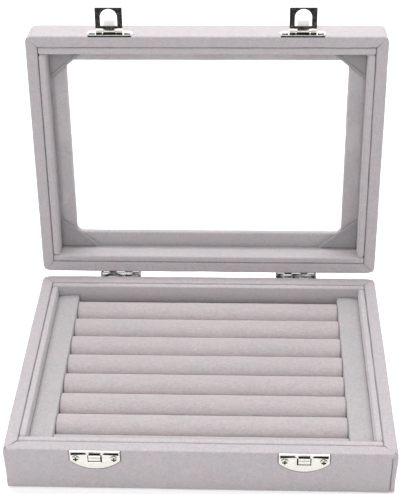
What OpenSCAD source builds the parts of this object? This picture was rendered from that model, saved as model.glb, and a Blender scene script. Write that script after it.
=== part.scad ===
// Ring display box: a velvet-covered wooden case with a glazed lid, hinged at the rear,
// a tray of padded ring rolls, and two flip latches at the front.
// The case stands open: the lid leans on its hinge stops and the two hasps stand up.
// Origin: centre of the underside. +X to the right, +Y to the rear, +Z up.

/* [Case] */
// Outer width, left to right
case_w = 200; // [170:1:240]
// Outer depth, front to rear
case_d = 150; // [120:1:180]
// Height of the base, floor to rim
base_h = 27; // [25:0.5:40]
// Depth of the lid, rim to outer face
lid_h = 19; // [17:0.5:26]
// Thickness of a covered wall
wall_t = 6.5; // [5:0.25:9]
// Gap between the two rims when the lid is shut
rim_gap = 0.3; // [0.2:0.05:0.8]
// Angle of the open lid
open_angle = 95; // [92:1:110]

/* [Cloth and boards] */
// Thickness of the velvet
velvet_t = 0.6; // [0.4:0.05:0.8]
// Radius of the upright corners, outside
corner_r = 3; // [2.5:0.25:4]
// Radius of the outer rim edge
rim_r = 1.3; // [1.1:0.1:2.2]
// Radius of the inner rim edge
lip_r = 0.9; // [0.85:0.05:1.5]
// Depth that the velvet turns down inside the wall
turn_in = 8; // [5:0.5:10]
// Width of the velvet turned under the floor
turn_under = 9; // [6:0.5:14]
// Thickness of the floor board
floor_t = 2.5; // [2:0.25:4]
// Thickness of the cloth under the floor
bottom_cloth_t = 0.8; // [0.5:0.1:1.2]
// Distance of the bottom cloth's edge from the side of the case
bottom_cloth_edge = 3.5; // [3:0.25:5]

/* [Liners] */
// Thickness of a velvet-wrapped liner strip
liner_t = 4.2; // [3:0.2:5]
// Drop of the liner's top below the rim
liner_drop = 0.2; // [0.1:0.1:1.5]
// Radius of the liner's top edges
liner_r = 0.8; // [0.5:0.1:1.4]

/* [Ring rolls] */
// Width of the narrow roll that fills up the front of the tray
filler_w = 12.7; // [8:0.1:18]
// Gap left between two rolls
roll_gap = 0.4; // [0.3:0.05:0.8]
// Height of a roll's crest above the tray card
roll_h = 13.8; // [11:0.2:15]
// Height of a roll's straight flanks
roll_flank_h = 7.6; // [5:0.2:9]
// Roundness of a roll's crown, smaller for fuller shoulders
roll_roundness = 0.8; // [0.7:0.05:1]
// Thickness of a roll's velvet sleeve
sleeve_t = 0.8; // [0.5:0.05:1]
// Distance that the foam ends inside its sleeve
core_inset = 0.6; // [0.3:0.1:1.5]
// Thickness of the tray card
card_t = 1.2; // [1:0.1:2]
// Width of a side strip over the roll ends
strip_w = 12; // [9:0.25:15]
// Height of a side strip above the tray card
strip_h = 15.4; // [12:0.2:17]
// Radius of a side strip's top edges
strip_r = 1; // [0.5:0.1:1.5]
// Gap between soft neighbours
soft_gap = 0.3; // [0.25:0.05:0.5]

/* [Window] */
// Width of the window opening
window_w = 160; // [130:1:164]
// Height of the window opening, front to rear on the shut lid
window_d = 110.8; // [90:0.2:115]
// Radius of the window's corners
window_r = 3; // [1:0.25:5]
// Thickness of the window board
window_board_t = 2.5; // [2:0.25:3]
// Thickness of the glass
glass_t = 2; // [1.5:0.25:2.5]
// Clearance round the glass
glass_clear = 0.5; // [0.3:0.1:1]
// Leg of a corner patch along the lid's sides
patch_leg_side = 19; // [12:0.5:24]
// Leg of a corner patch along the lid's front and rear
patch_leg_front = 23; // [14:0.5:28]
// Thickness of a corner patch
patch_t = 0.9; // [0.6:0.1:1.2]
// Width of a corner patch's folded edge
patch_fold = 1.6; // [1:0.1:2.5]

/* [Hinges] */
// Distance from the middle of the case to a hinge or a latch
fitting_x = 53; // [40:0.5:70]
// Length of a hinge
hinge_len = 24; // [18:0.5:32]
// Height of a hinge leaf, from the pin
hinge_leaf_h = 10; // [8:0.5:13]
// Thickness of the leaf metal
leaf_t = 0.8; // [0.6:0.05:1]
// Distance of the pin behind the rear wall
pin_back = 1.7; // [1.65:0.05:2.2]
// Outer radius of a knuckle
knuckle_r = 1.4; // [1.25:0.05:1.45]
// Radius of a hinge pin
hinge_pin_r = 0.6; // [0.5:0.05:0.7]
// Running clearance round a pin
pin_clear = 0.05; // [0.02:0.01:0.08]
// Gap between two knuckles
knuckle_gap = 0.2; // [0.15:0.05:0.3]
// Reach of a stop wing from the pin
wing_reach = 6; // [5:0.25:7]
// Gap at the stop of the open lid
stop_gap = 0.2; // [0.1:0.05:0.3]

/* [Keeper] */
// Width of a keeper plate
keeper_w = 25.6; // [24:0.2:30]
// Height of a keeper plate
keeper_h = 11.7; // [11.3:0.1:14]
// Thickness of a keeper plate
keeper_t = 0.8; // [0.6:0.05:1]
// Width of the raised catch
catch_w = 6; // [5.2:0.1:7]
// Drop of the catch's upper end below the plate's top
catch_top = 1.5; // [1.2:0.1:2]
// Drop of the catch's lower end below the plate's top
catch_end = 8.2; // [7:0.1:9]
// Height of the catch off the wall
catch_rise = 2.7; // [2.4:0.05:2.85]
// Height of the slot under each bead
slot_h = 1.1; // [0.8:0.05:1.3]

/* [Lid plate and hasp] */
// Width of a lid plate
lid_plate_w = 25.4; // [24.6:0.2:28]
// Height of a lid plate
lid_plate_h = 7; // [6:0.1:8]
// Thickness of a lid plate
lid_plate_t = 0.8; // [0.6:0.05:1]
// Height of the hasp's pin above the lid's rim
hasp_pin_up = 1.8; // [1.7:0.1:2.6]
// Distance of the hasp's pin off the wall
hasp_pin_out = 2.7; // [2.65:0.05:3]
// Radius of the hasp's pin
hasp_pin_r = 0.55; // [0.45:0.05:0.6]
// Outer radius of the rolled strap and the lugs
strap_r = 1.15; // [1.1:0.05:1.2]
// Width of the rolled strap
strap_w = 6.4; // [5.6:0.1:6.8]
// Distance between the lugs
lug_span = 8.4; // [8:0.1:8.8]
// Width of a lug
lug_w = 3.1; // [2.2:0.1:3.2]
// Width of the hasp
hasp_w = 15; // [14:0.1:15.2]
// Length of the hasp from its pin
hasp_len = 13.6; // [12.8:0.1:14]
// Thickness of the hasp metal
hasp_t = 0.7; // [0.5:0.05:0.75]
// Width of the arch-shaped window
arch_w = 9.2; // [8.6:0.1:9.6]
// Distance from the pin to the hasp's lower edge
hasp_foot = 1.55; // [1.5:0.05:1.8]
// Width of the bar under the arch
bar_w = 1.6; // [1.2:0.1:1.8]
// Metal above the crown of the arch
crown_t = 0.9; // [0.7:0.1:1.2]
// Length of the finger tab from the pin
tab_len = 5.8; // [4.6:0.1:6]

/* [Screws and nails] */
// Distance between a plate's two screws
screw_pitch = 19.6; // [18.8:0.1:20.4]
// Radius of a screw's domed head
screw_head_r = 1.75; // [1.5:0.05:1.9]
// Height of a screw's domed head
screw_head_h = 0.9; // [0.6:0.05:1.1]
// Radius of a screw's shank
screw_r = 0.7; // [0.5:0.05:0.9]
// Length of a screw under its head
screw_len = 5.4; // [4:0.1:5.6]
// Width of the slots of the cross in a screw's head
cross_w = 0.4; // [0.3:0.05:0.6]
// Distance between a leaf's two nails
nail_pitch = 15; // [12:0.5:17]
// Radius of a nail's head
nail_head_r = 1; // [0.8:0.05:1.2]
// Height of a nail's head
nail_head_h = 0.4; // [0.3:0.05:0.6]
// Radius of a nail's shank
nail_r = 0.45; // [0.35:0.05:0.55]
// Length of a nail under its head
nail_len = 5; // [3.5:0.1:5.4]

/* [Hidden] */
$fn = 48;

eps = 0.01;
velvet = "lightgray";
wood = "burlywood";
card = "tan";
foam = "wheat";
metal = "silver";

// Case
half_w = case_w / 2;
half_d = case_d / 2;
board_t = wall_t - 2 * velvet_t;
base_case_h = base_h - bottom_cloth_t;
floor_z = bottom_cloth_t + velvet_t + floor_t;
card_top = floor_z + card_t;
hinge_z = base_h + rim_gap / 2;
hinge_y = half_d + pin_back;
lid_rim_z = base_h + rim_gap;
lid_top_z = lid_rim_z + lid_h;

// Tray
tray_w = case_w - 2 * (wall_t + liner_t);
tray_d = case_d - 2 * (wall_t + liner_t);
roll_n = 7;
roll_pitch = (tray_d - filler_w - roll_gap) / roll_n;
roll_w = roll_pitch - roll_gap;
roll_len = tray_w - 2 * strip_w - 2 * soft_gap;
roll_rear_y = tray_d / 2 - roll_gap / 2;

// Window
panel_t = window_board_t + 2 * velvet_t;
glass_z = lid_top_z - panel_t - glass_t;
lid_liner_z0 = lid_rim_z + liner_drop;

// Hinges: five knuckles, of which the base leaf has three
knuckle_n = 5;
knuckle_pitch = hinge_len / knuckle_n;
stop_line = open_angle / 2;
knuckle_clear = 0.3;
wing_start = knuckle_r + 0.6;
nail_up = 6.2;

// Latches
keeper_top_z = base_h;
keeper_shoulder = 6.2;
bead_r = 0.45;
bead_x0 = 4.7;
bead_x1 = 12.2;
catch_metal = 0.7;
catch_mouth = 1.5;
keeper_screw_drop = 5;
lid_plate_up = 0.2;
lid_screw_up = lid_plate_up + lid_plate_h / 2;
hasp_corner_r = 0.5;
tab_straight = 3.4;
tab_flare = 0.5;
hole_clear = 0.05;
cut = 1;
hasp_pin_z = lid_rim_z + hasp_pin_up;
hasp_pin_y = -half_d - hasp_pin_out;

// Positions of the two fittings on each side, and their hands
SIDES = [-1, 1];

// ---------------------------------------------------------------- motion frames

// Carries what is drawn on the shut lid to the open lid
module on_open_lid() {
    translate([0, hinge_y, hinge_z])
        rotate([-open_angle, 0, 0])
            translate([0, -hinge_y, -hinge_z])
                children();
}

// Stands a hasp, drawn in its shut position, upright on the open lid
module on_raised_hasp() {
    on_open_lid()
        translate([0, hasp_pin_y, hasp_pin_z])
            rotate([-90, 0, 0])
                translate([0, -hasp_pin_y, -hasp_pin_z])
                    children();
}

// ---------------------------------------------------------------- placing

// Puts a fitting, drawn with x across, y up and z outwards, on the front wall
module on_front(x, z) {
    translate([x, -half_d, z])
        rotate([90, 0, 0])
            children();
}

// Puts a fitting, drawn with x across, y up and z outwards, on the rear wall
module on_rear(x, z) {
    translate([x, half_d, z])
        rotate([90, 0, 180])
            children();
}

// Turns a case drawn with its outer face down and its rim up into the shut lid
module as_lid() {
    translate([0, 0, lid_top_z])
        mirror([0, 0, 1])
            children();
}

// ---------------------------------------------------------------- case shapes

// Square with round corners, centred, as a flat outline
module round_rect(w, d, r) {
    union() {
        square([w - 2 * r, d], center = true);
        square([w, d - 2 * r], center = true);
        for (sx = SIDES, sy = SIDES)
            translate([sx * (w / 2 - r), sy * (d / 2 - r)])
                circle(r);
    }
}

// Upright block with a round-cornered outline
module slab(w, d, r, z0, z1) {
    translate([0, 0, z0])
        linear_extrude(z1 - z0)
            round_rect(w, d, r);
}

// Section of a wall: x inwards from the outer face, y from the outer panel to the rim.
// skin_in is how far the section is drawn in on every side.
module wall_section(h, skin_in, x_max) {
    edge_r = rim_r - skin_in;
    inner_r = lip_r - skin_in;
    x1 = wall_t - skin_in;
    intersection() {
        union() {
            translate([rim_r, skin_in])
                square([x1 - inner_r - rim_r, h - 2 * skin_in]);
            translate([skin_in, rim_r])
                square([rim_r - skin_in + eps, h - 2 * rim_r]);
            translate([x1 - inner_r - eps, skin_in])
                square([inner_r + eps, h - lip_r - skin_in]);
            for (y = [rim_r, h - rim_r])
                translate([rim_r, y])
                    circle(edge_r);
            translate([x1 - inner_r, h - lip_r])
                circle(inner_r);
        }
        square([x_max, h]);
    }
}

// The four walls of a case as one ring
module wall_ring(h, skin_in) {
    run_x = case_w - 2 * corner_r;
    run_y = case_d - 2 * corner_r;
    for (s = SIDES) {
        translate([0, s * half_d, 0])
            rotate([90, 0, -s * 90])
                translate([0, 0, -run_x / 2])
                    linear_extrude(run_x)
                        wall_section(h, skin_in, wall_t);
        translate([s * half_w, 0, 0])
            rotate([90, 0, 90 + s * 90])
                translate([0, 0, -run_y / 2])
                    linear_extrude(run_y)
                        wall_section(h, skin_in, wall_t);
    }
    for (q = [0:3])
        translate([
            (q == 0 || q == 3 ? 1 : -1) * (half_w - corner_r),
            (q < 2 ? 1 : -1) * (half_d - corner_r),
            0
        ])
            rotate([0, 0, q * 90])
                rotate_extrude(angle = 90)
                    intersection() {
                        translate([corner_r, 0])
                            mirror([1, 0])
                                wall_section(h, skin_in, corner_r);
                        square([corner_r, h]);
                    }
}

// Outer panel of a case, with an opening of the given size in its middle
module panel(z0, z1, hole_w, hole_d, hole_r) {
    translate([0, 0, z0])
        linear_extrude(z1 - z0)
            difference() {
                square([case_w - 2 * corner_r, case_d - 2 * corner_r], center = true);
                round_rect(hole_w, hole_d, hole_r);
            }
}

// Panel of a case without an opening
module floor_area(z0, z1) {
    translate([0, 0, z0])
        linear_extrude(z1 - z0)
            square([case_w - 2 * corner_r, case_d - 2 * corner_r], center = true);
}

// Velvet cover of a case: panel below, rim above. An inner skin, if it has one, lines the
// panel inside as well.
module case_cover(h, board, hole_w, hole_d, hole_r, inner_skin) {
    panel_h = board + velvet_t + (inner_skin ? velvet_t : 0);
    inside_w = case_w - 2 * wall_t;
    inside_d = case_d - 2 * wall_t;
    difference() {
        union() {
            wall_ring(h, 0);
            panel(0, panel_h, hole_w, hole_d, hole_r);
        }
        wall_ring(h, velvet_t);
        if (inner_skin)
            panel(
                velvet_t,
                velvet_t + board,
                hole_w + 2 * velvet_t,
                hole_d + 2 * velvet_t,
                hole_r + velvet_t
            );
        else
            floor_area(velvet_t, panel_h + eps);
        translate([0, 0, panel_h])
            linear_extrude(h - turn_in - panel_h)
                difference() {
                    square([inside_w + 2 * velvet_t, inside_d + 2 * velvet_t], center = true);
                    square([inside_w - cut, inside_d - cut], center = true);
                }
    }
}

// Panel board of a case, without an opening
module case_floor_board(h, board) {
    intersection() {
        union() {
            wall_ring(h, velvet_t);
            floor_area(velvet_t, velvet_t + board);
        }
        slab(case_w, case_d, corner_r, velvet_t, velvet_t + board);
    }
}

// Panel board of a case, with an opening
module case_window_board(h, board, hole_w, hole_d, hole_r) {
    intersection() {
        union() {
            wall_ring(h, velvet_t);
            panel(velvet_t, velvet_t + board, hole_w, hole_d, hole_r);
        }
        slab(case_w, case_d, corner_r, velvet_t, velvet_t + board);
    }
}

// Front board (side -1) or rear board (side 1) of a case, full width
module long_board(h, board, side) {
    intersection() {
        wall_ring(h, velvet_t);
        translate([
            -half_w,
            side * (half_d - (wall_t - velvet_t) / 2) - (wall_t - velvet_t) / 2,
            velvet_t + board
        ])
            cube([case_w, wall_t - velvet_t, h]);
    }
}

// Left board (side -1) or right board (side 1) of a case, between the long boards
module short_board(h, board, side) {
    run = case_d - 2 * (wall_t - velvet_t);
    translate([side * half_w, 0, 0])
        rotate([90, 0, 90 + side * 90])
            translate([0, 0, -run / 2])
                linear_extrude(run)
                    intersection() {
                        wall_section(h, velvet_t, wall_t);
                        translate([0, velvet_t + board])
                            square([wall_t, h]);
                    }
}

// Liner strip of a given length along x, standing from z = 0, its top edges rounded
module liner_strip(run, h) {
    translate([-run / 2, 0, 0])
        rotate([90, 0, 90])
            linear_extrude(run)
                union() {
                    translate([-liner_t / 2, 0])
                        square([liner_t, h - liner_r]);
                    translate([-liner_t / 2 + liner_r, 0])
                        square([liner_t - 2 * liner_r, h]);
                    for (s = SIDES)
                        translate([s * (liner_t / 2 - liner_r), h - liner_r])
                            circle(liner_r);
                }
}

// Front or rear liner of a case, full width inside the walls
module long_liner(h, side) {
    translate([0, side * (half_d - wall_t - liner_t / 2), 0])
        liner_strip(case_w - 2 * wall_t, h);
}

// Left or right liner of a case, between the long liners
module short_liner(h, side) {
    translate([side * (half_w - wall_t - liner_t / 2), 0, 0])
        rotate([0, 0, 90])
            liner_strip(tray_d, h);
}

// ---------------------------------------------------------------- fasteners

// Domed head on z = 0, pointing up
module dome(r, h) {
    ball_r = (r * r + h * h) / (2 * h);
    intersection() {
        translate([0, 0, h - ball_r])
            sphere(ball_r);
        cylinder(r = r + eps, h = h + eps);
    }
}

// Cross-head screw seen from above its plate, head on z = 0
module screw() {
    difference() {
        dome(screw_head_r, screw_head_h);
        for (a = [0, 90])
            rotate([0, 0, a])
                translate([-screw_head_r * 0.7, -cross_w / 2, screw_head_h * 0.45])
                    cube([screw_head_r * 1.4, cross_w, screw_head_h]);
    }
    translate([0, 0, -screw_len])
        cylinder(r = screw_r, h = screw_len + eps);
}

// Round-headed nail, head on z = 0
module nail() {
    dome(nail_head_r, nail_head_h);
    translate([0, 0, -nail_len])
        cylinder(r = nail_r, h = nail_len + eps);
}

// A pair of places along x
module pair(pitch) {
    for (s = SIDES)
        translate([s * pitch / 2, 0, 0])
            children();
}

// Places of the keeper screws, on the plates' outer faces
module at_keeper_screws() {
    for (side = SIDES)
        on_front(side * fitting_x, keeper_top_z - keeper_screw_drop)
            translate([0, 0, keeper_t])
                pair(screw_pitch)
                    children();
}

// Places of the lid plates' screws on the shut lid
module at_lid_plate_screws() {
    for (side = SIDES)
        on_front(side * fitting_x, lid_rim_z + lid_screw_up)
            translate([0, 0, lid_plate_t])
                pair(screw_pitch)
                    children();
}

// Places of the nails of the base leaves (up -1) or of the lid leaves (up 1)
module at_leaf_nails(up) {
    for (side = SIDES)
        on_rear(side * fitting_x, hinge_z + up * nail_up)
            translate([0, 0, leaf_t])
                pair(nail_pitch)
                    children();
}

// Bores for the base's screws and nails
module base_bores() {
    at_keeper_screws()
        translate([0, 0, -screw_len - hole_clear])
            cylinder(r = screw_r + hole_clear, h = 2 * screw_len);
    at_leaf_nails(-1)
        translate([0, 0, -nail_len - hole_clear])
            cylinder(r = nail_r + hole_clear, h = 2 * nail_len);
}

// Bores for the lid's screws and nails
module lid_bores() {
    at_lid_plate_screws()
        translate([0, 0, -screw_len - hole_clear])
            cylinder(r = screw_r + hole_clear, h = 2 * screw_len);
    at_leaf_nails(1)
        translate([0, 0, -nail_len - hole_clear])
            cylinder(r = nail_r + hole_clear, h = 2 * nail_len);
}

// ---------------------------------------------------------------- base

module base_front_board()
    color(wood)
        difference() {
            translate([0, 0, bottom_cloth_t])
                long_board(base_case_h, floor_t, -1);
            base_bores();
        }

module base_rear_board()
    color(wood)
        difference() {
            translate([0, 0, bottom_cloth_t])
                long_board(base_case_h, floor_t, 1);
            base_bores();
        }

module base_side_board(side)
    color(wood)
        translate([0, 0, bottom_cloth_t])
            short_board(base_case_h, floor_t, side);

module floor_board()
    color(wood)
        translate([0, 0, bottom_cloth_t])
            case_floor_board(base_case_h, floor_t);

module base_velvet_cover()
    color(velvet)
        difference() {
            translate([0, 0, bottom_cloth_t])
                case_cover(
                    base_case_h,
                    floor_t,
                    case_w - 2 * turn_under,
                    case_d - 2 * turn_under,
                    1,
                    false
                );
            base_bores();
        }

// The cloth is stepped: it fills the opening in the turned-under velvet and laps over its edge
module bottom_cloth()
    color(velvet) {
        slab(case_w - 2 * bottom_cloth_edge, case_d - 2 * bottom_cloth_edge, 1, 0, bottom_cloth_t);
        translate([0, 0, bottom_cloth_t - eps])
            linear_extrude(velvet_t + eps)
                round_rect(case_w - 2 * turn_under, case_d - 2 * turn_under, 1);
    }

module base_long_liner(side)
    color(velvet)
        translate([0, 0, floor_z])
            long_liner(base_h - liner_drop - floor_z, side);

module base_short_liner(side)
    color(velvet)
        translate([0, 0, floor_z])
            short_liner(base_h - liner_drop - floor_z, side);

module tray_card()
    color(card)
        translate([-tray_w / 2, -tray_d / 2, floor_z])
            cube([tray_w, tray_d, card_t]);

// ---------------------------------------------------------------- ring rolls

// Section of a roll: straight flanks with a rounded crown, drawn in by skin_in on every side
function roll_outline(w, skin_in) =
    let (
        half = w / 2 - skin_in,
        crown = roll_h - roll_flank_h - skin_in,
        steps = 20
    )
    concat(
        [[-half, skin_in]],
        [[half, skin_in]],
        [
            for (i = [0:steps])
                let (a = i * 180 / steps)
                [
                    half * sign(cos(a)) * pow(abs(cos(a)), roll_roundness),
                    roll_flank_h + crown * pow(sin(a), roll_roundness)
                ]
        ]
    );

// Roll of a given width and length, its rear edge on y = 0, lying along x on z = 0
module roll(w, run, skin_in) {
    translate([-run / 2, -w / 2, 0])
        rotate([90, 0, 90])
            linear_extrude(run)
                polygon(roll_outline(w, skin_in));
}

// Place of roll i, counted from the rear
module at_roll(i) {
    translate([0, roll_rear_y - (i - 1) * roll_pitch, card_top])
        children();
}

module foam_core(i)
    color(foam)
        at_roll(i)
            roll(roll_w, roll_len - 2 * core_inset, sleeve_t);

module roll_sleeve(i)
    color(velvet)
        at_roll(i)
            difference() {
                roll(roll_w, roll_len, 0);
                roll(roll_w, roll_len + cut, sleeve_t);
            }

module front_filler_roll()
    color(velvet)
        at_roll(roll_n + 1)
            roll(filler_w, roll_len, 0);

// Flat strip, velvet over board, along the ends of the rolls
module side_strip(side)
    color(velvet)
        translate([side * (tray_w / 2 - strip_w / 2), tray_d / 2, card_top])
            rotate([90, 0, 0])
                linear_extrude(tray_d)
                    union() {
                        translate([-strip_w / 2, 0])
                            square([strip_w, strip_h - strip_r]);
                        translate([-strip_w / 2 + strip_r, 0])
                            square([strip_w - 2 * strip_r, strip_h]);
                        for (s = SIDES)
                            translate([s * (strip_w / 2 - strip_r), strip_h - strip_r])
                                circle(strip_r);
                    }

// ---------------------------------------------------------------- hinges

// One knuckle of a hinge, counted from the left end
module knuckle(k) {
    x0 = -hinge_len / 2 + k * knuckle_pitch + (k > 0 ? knuckle_gap / 2 : 0);
    x1 = -hinge_len / 2 + (k + 1) * knuckle_pitch - (k < knuckle_n - 1 ? knuckle_gap / 2 : 0);
    translate([x0, 0, 0])
        rotate([0, 90, 0])
            cylinder(r = knuckle_r, h = x1 - x0);
}

// Stop wing: a lug at right angles to the leaf whose slanted edge meets the other leaf's.
// Drawn in the plane of y (rearwards) and z (up, along the leaf) from the pin.
module stop_wing() {
    edge = [cos(stop_line), sin(stop_line)];
    back = [-sin(stop_line), cos(stop_line)] * stop_gap / 2;
    leaf_y = -pin_back + leaf_t / 2;
    rotate([90, 0, 90])
        linear_extrude(leaf_t)
            polygon([
                edge * wing_start + back,
                edge * wing_reach + back,
                [leaf_y, hinge_leaf_h * 0.9],
                [leaf_y, wing_start + knuckle_clear]
            ]);
}

// A leaf with its knuckles about the pin at the origin; the leaf stands up behind the wall.
// first is 0 for the leaf that has the end knuckles, 1 for the other.
module leaf(first) {
    difference() {
        union() {
            difference() {
                translate([-hinge_len / 2, -pin_back, 0])
                    cube([hinge_len, leaf_t, hinge_leaf_h]);
                for (k = [1 - first:2:knuckle_n - 1])
                    translate([
                        -hinge_len / 2 + k * knuckle_pitch - knuckle_gap / 2 - eps,
                        -pin_back - cut,
                        -cut
                    ])
                        cube([
                            knuckle_pitch + knuckle_gap + 2 * eps,
                            leaf_t + 2 * cut,
                            knuckle_r + knuckle_clear + cut
                        ]);
            }
            for (k = [first:2:knuckle_n - 1])
                knuckle(k);
            for (s = SIDES)
                translate([s * (hinge_len - leaf_t) / 2 - leaf_t / 2, 0, 0])
                    stop_wing();
        }
        translate([-hinge_len, 0, 0])
            rotate([0, 90, 0])
                cylinder(r = hinge_pin_r + pin_clear, h = 2 * hinge_len);
        translate([0, -pin_back - cut, nail_up])
            rotate([-90, 0, 0])
                pair(nail_pitch)
                    cylinder(r = nail_r + hole_clear, h = leaf_t + 2 * cut);
    }
}

module base_leaf(side)
    color(metal)
        translate([side * fitting_x, hinge_y, hinge_z])
            mirror([0, 0, 1])
                leaf(0);

module lid_leaf(side)
    color(metal)
        on_open_lid()
            translate([side * fitting_x, hinge_y, hinge_z])
                leaf(1);

module hinge_pin(side)
    color(metal)
        translate([side * fitting_x - hinge_len / 2, hinge_y, hinge_z])
            rotate([0, 90, 0])
                cylinder(r = hinge_pin_r, h = hinge_len);

module base_leaf_nails()
    color(metal)
        at_leaf_nails(-1)
            nail();

module lid_leaf_nails()
    color(metal)
        on_open_lid()
            at_leaf_nails(1)
                nail();

// ---------------------------------------------------------------- keepers

// Boat-shaped outline, its straight edge on y = 0
module keeper_outline() {
    sag = keeper_h - keeper_shoulder;
    bow_r = (keeper_w * keeper_w / 4 + sag * sag) / (2 * sag);
    intersection() {
        translate([0, bow_r - keeper_h])
            circle(bow_r);
        translate([-keeper_w / 2, -keeper_h])
            square([keeper_w, keeper_h]);
    }
}

// Raised catch: a bowed strap, lanced out of the plate, free at its lower end
module catch() {
    reach = catch_end - catch_top;
    bow_r = (reach * reach / 4 + catch_rise * catch_rise) / (2 * catch_rise);
    middle = [-(catch_top + catch_end) / 2, catch_rise - bow_r];
    translate([-catch_w / 2, 0, 0])
        rotate([90, 0, 90])
            linear_extrude(catch_w)
                difference() {
                    translate(middle)
                        circle(bow_r);
                    translate(middle)
                        circle(bow_r - catch_metal);
                    translate([-3 * keeper_h, -2 * keeper_h])
                        square([4 * keeper_h, 2 * keeper_h]);
                    translate([-keeper_h, -cut])
                        square([keeper_h - (catch_top + catch_end) / 2, catch_mouth + cut]);
                }
}

module keeper_plate(side)
    color(metal)
        on_front(side * fitting_x, keeper_top_z) {
            difference() {
                linear_extrude(keeper_t)
                    keeper_outline();
                translate([-catch_w / 2, -catch_end, -cut])
                    cube([catch_w, catch_end - catch_top - catch_metal / 2, keeper_t + 2 * cut]);
                translate([0, -keeper_screw_drop, -cut])
                    pair(screw_pitch)
                        cylinder(r = screw_r + hole_clear, h = keeper_t + 2 * cut);
                translate([0, -2 * bead_r - slot_h / 2, 0])
                    pair(bead_x0 + bead_x1)
                        cube([bead_x1 - bead_x0, slot_h, 3 * keeper_t], center = true);
            }
            catch();
            translate([0, -bead_r, keeper_t - bead_r / 3])
                pair(bead_x0 + bead_x1)
                    rotate([0, 90, 0])
                        cylinder(r = bead_r, h = bead_x1 - bead_x0, center = true);
        }

module keeper_screws()
    color(metal)
        at_keeper_screws()
            screw();

// ---------------------------------------------------------------- lid

module lid_long_board(side)
    color(wood)
        on_open_lid()
            difference() {
                as_lid()
                    long_board(lid_h, window_board_t, side);
                lid_bores();
            }

module lid_short_board(side)
    color(wood)
        on_open_lid()
            as_lid()
                short_board(lid_h, window_board_t, side);

module window_board()
    color(wood)
        on_open_lid()
            as_lid()
                case_window_board(
                    lid_h,
                    window_board_t,
                    window_w + 2 * velvet_t,
                    window_d + 2 * velvet_t,
                    window_r + velvet_t
                );

module lid_velvet_cover()
    color(velvet)
        on_open_lid()
            difference() {
                as_lid()
                    case_cover(lid_h, window_board_t, window_w, window_d, window_r, true);
                lid_bores();
            }

module window_glass()
    color("lightcyan", 0.3)
        on_open_lid()
            translate([0, 0, glass_z])
                linear_extrude(glass_t)
                    square([
                        case_w - 2 * wall_t - 2 * glass_clear,
                        case_d - 2 * wall_t - 2 * glass_clear
                    ], center = true);

module lid_long_liner(side)
    color(velvet)
        on_open_lid()
            translate([0, 0, glass_z])
                mirror([0, 0, 1])
                    long_liner(glass_z - lid_liner_z0, side);

module lid_short_liner(side)
    color(velvet)
        on_open_lid()
            translate([0, 0, glass_z])
                mirror([0, 0, 1])
                    short_liner(glass_z - lid_liner_z0, side);

// One corner patch with its corner at the origin and its legs along +x and +y
module corner_patch() {
    slope = atan2(patch_leg_side, patch_leg_front);
    fold_len = norm([patch_leg_front, patch_leg_side]);
    linear_extrude(patch_t)
        polygon([[0, 0], [patch_leg_front, 0], [0, patch_leg_side]]);
    intersection() {
        translate([0, patch_leg_side, 0])
            rotate([0, 0, -slope])
                translate([0, -patch_fold / 2, patch_t * 0.75])
                    rotate([0, 90, 0])
                        cylinder(r = patch_fold / 2, h = fold_len);
        linear_extrude(patch_t + patch_fold)
            polygon([[0, 0], [patch_leg_front, 0], [0, patch_leg_side]]);
    }
}

module corner_patches()
    color(velvet)
        on_open_lid()
            translate([0, 0, glass_z])
                mirror([0, 0, 1])
                    for (sx = [0, 1], sy = [0, 1])
                        mirror([sx, 0, 0])
                            mirror([0, sy, 0])
                                translate([-tray_w / 2, -tray_d / 2, 0])
                                    corner_patch();

// ---------------------------------------------------------------- latches

// Lid plate with two lugs that hold the hasp's pin, drawn from the lid's rim up
module lid_plate(side)
    color(metal)
        on_open_lid()
            on_front(side * fitting_x, lid_rim_z)
                difference() {
                    union() {
                        translate([0, lid_screw_up, 0])
                            linear_extrude(lid_plate_t)
                                round_rect(lid_plate_w, lid_plate_h, lid_plate_h / 2 - 0.2);
                        for (s = SIDES)
                            translate([s * (lug_span + lug_w) / 2 - lug_w / 2, hasp_pin_up, hasp_pin_out])
                                rotate([0, 90, 0])
                                    linear_extrude(lug_w)
                                        union() {
                                            circle(strap_r);
                                            translate([0, -strap_r])
                                                square([hasp_pin_out - lid_plate_t / 2, 2 * strap_r]);
                                        }
                    }
                    translate([-lid_plate_w, hasp_pin_up, hasp_pin_out])
                        rotate([0, 90, 0])
                            cylinder(r = hasp_pin_r, h = 2 * lid_plate_w);
                    translate([0, lid_screw_up, -cut])
                        pair(screw_pitch)
                            cylinder(r = screw_r + hole_clear, h = lid_plate_t + 2 * cut);
                }

module lid_plate_screws()
    color(metal)
        on_open_lid()
            at_lid_plate_screws()
                screw();

module hasp_pin(side)
    color(metal)
        on_open_lid()
            translate([side * fitting_x - lug_span / 2 - lug_w, hasp_pin_y, hasp_pin_z])
                rotate([0, 90, 0])
                    cylinder(r = hasp_pin_r, h = lug_span + 2 * lug_w);

// Flat outline of the hasp below its pin: a square frame round an arch-shaped window
module hasp_outline() {
    arch_r = arch_w / 2;
    arch_y = -(hasp_len - crown_t - arch_r);
    bar_y = -(hasp_foot + bar_w);
    difference() {
        union() {
            translate([-hasp_w / 2, -hasp_len + hasp_corner_r])
                square([hasp_w, hasp_len - hasp_corner_r - hasp_foot]);
            translate([-hasp_w / 2 + hasp_corner_r, -hasp_len])
                square([hasp_w - 2 * hasp_corner_r, hasp_corner_r + eps]);
            for (s = SIDES)
                translate([s * (hasp_w / 2 - hasp_corner_r), -hasp_len + hasp_corner_r])
                    circle(hasp_corner_r);
        }
        translate([0, arch_y])
            circle(arch_r);
        translate([-arch_r, arch_y])
            square([arch_w, bar_y - arch_y]);
    }
}

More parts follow.
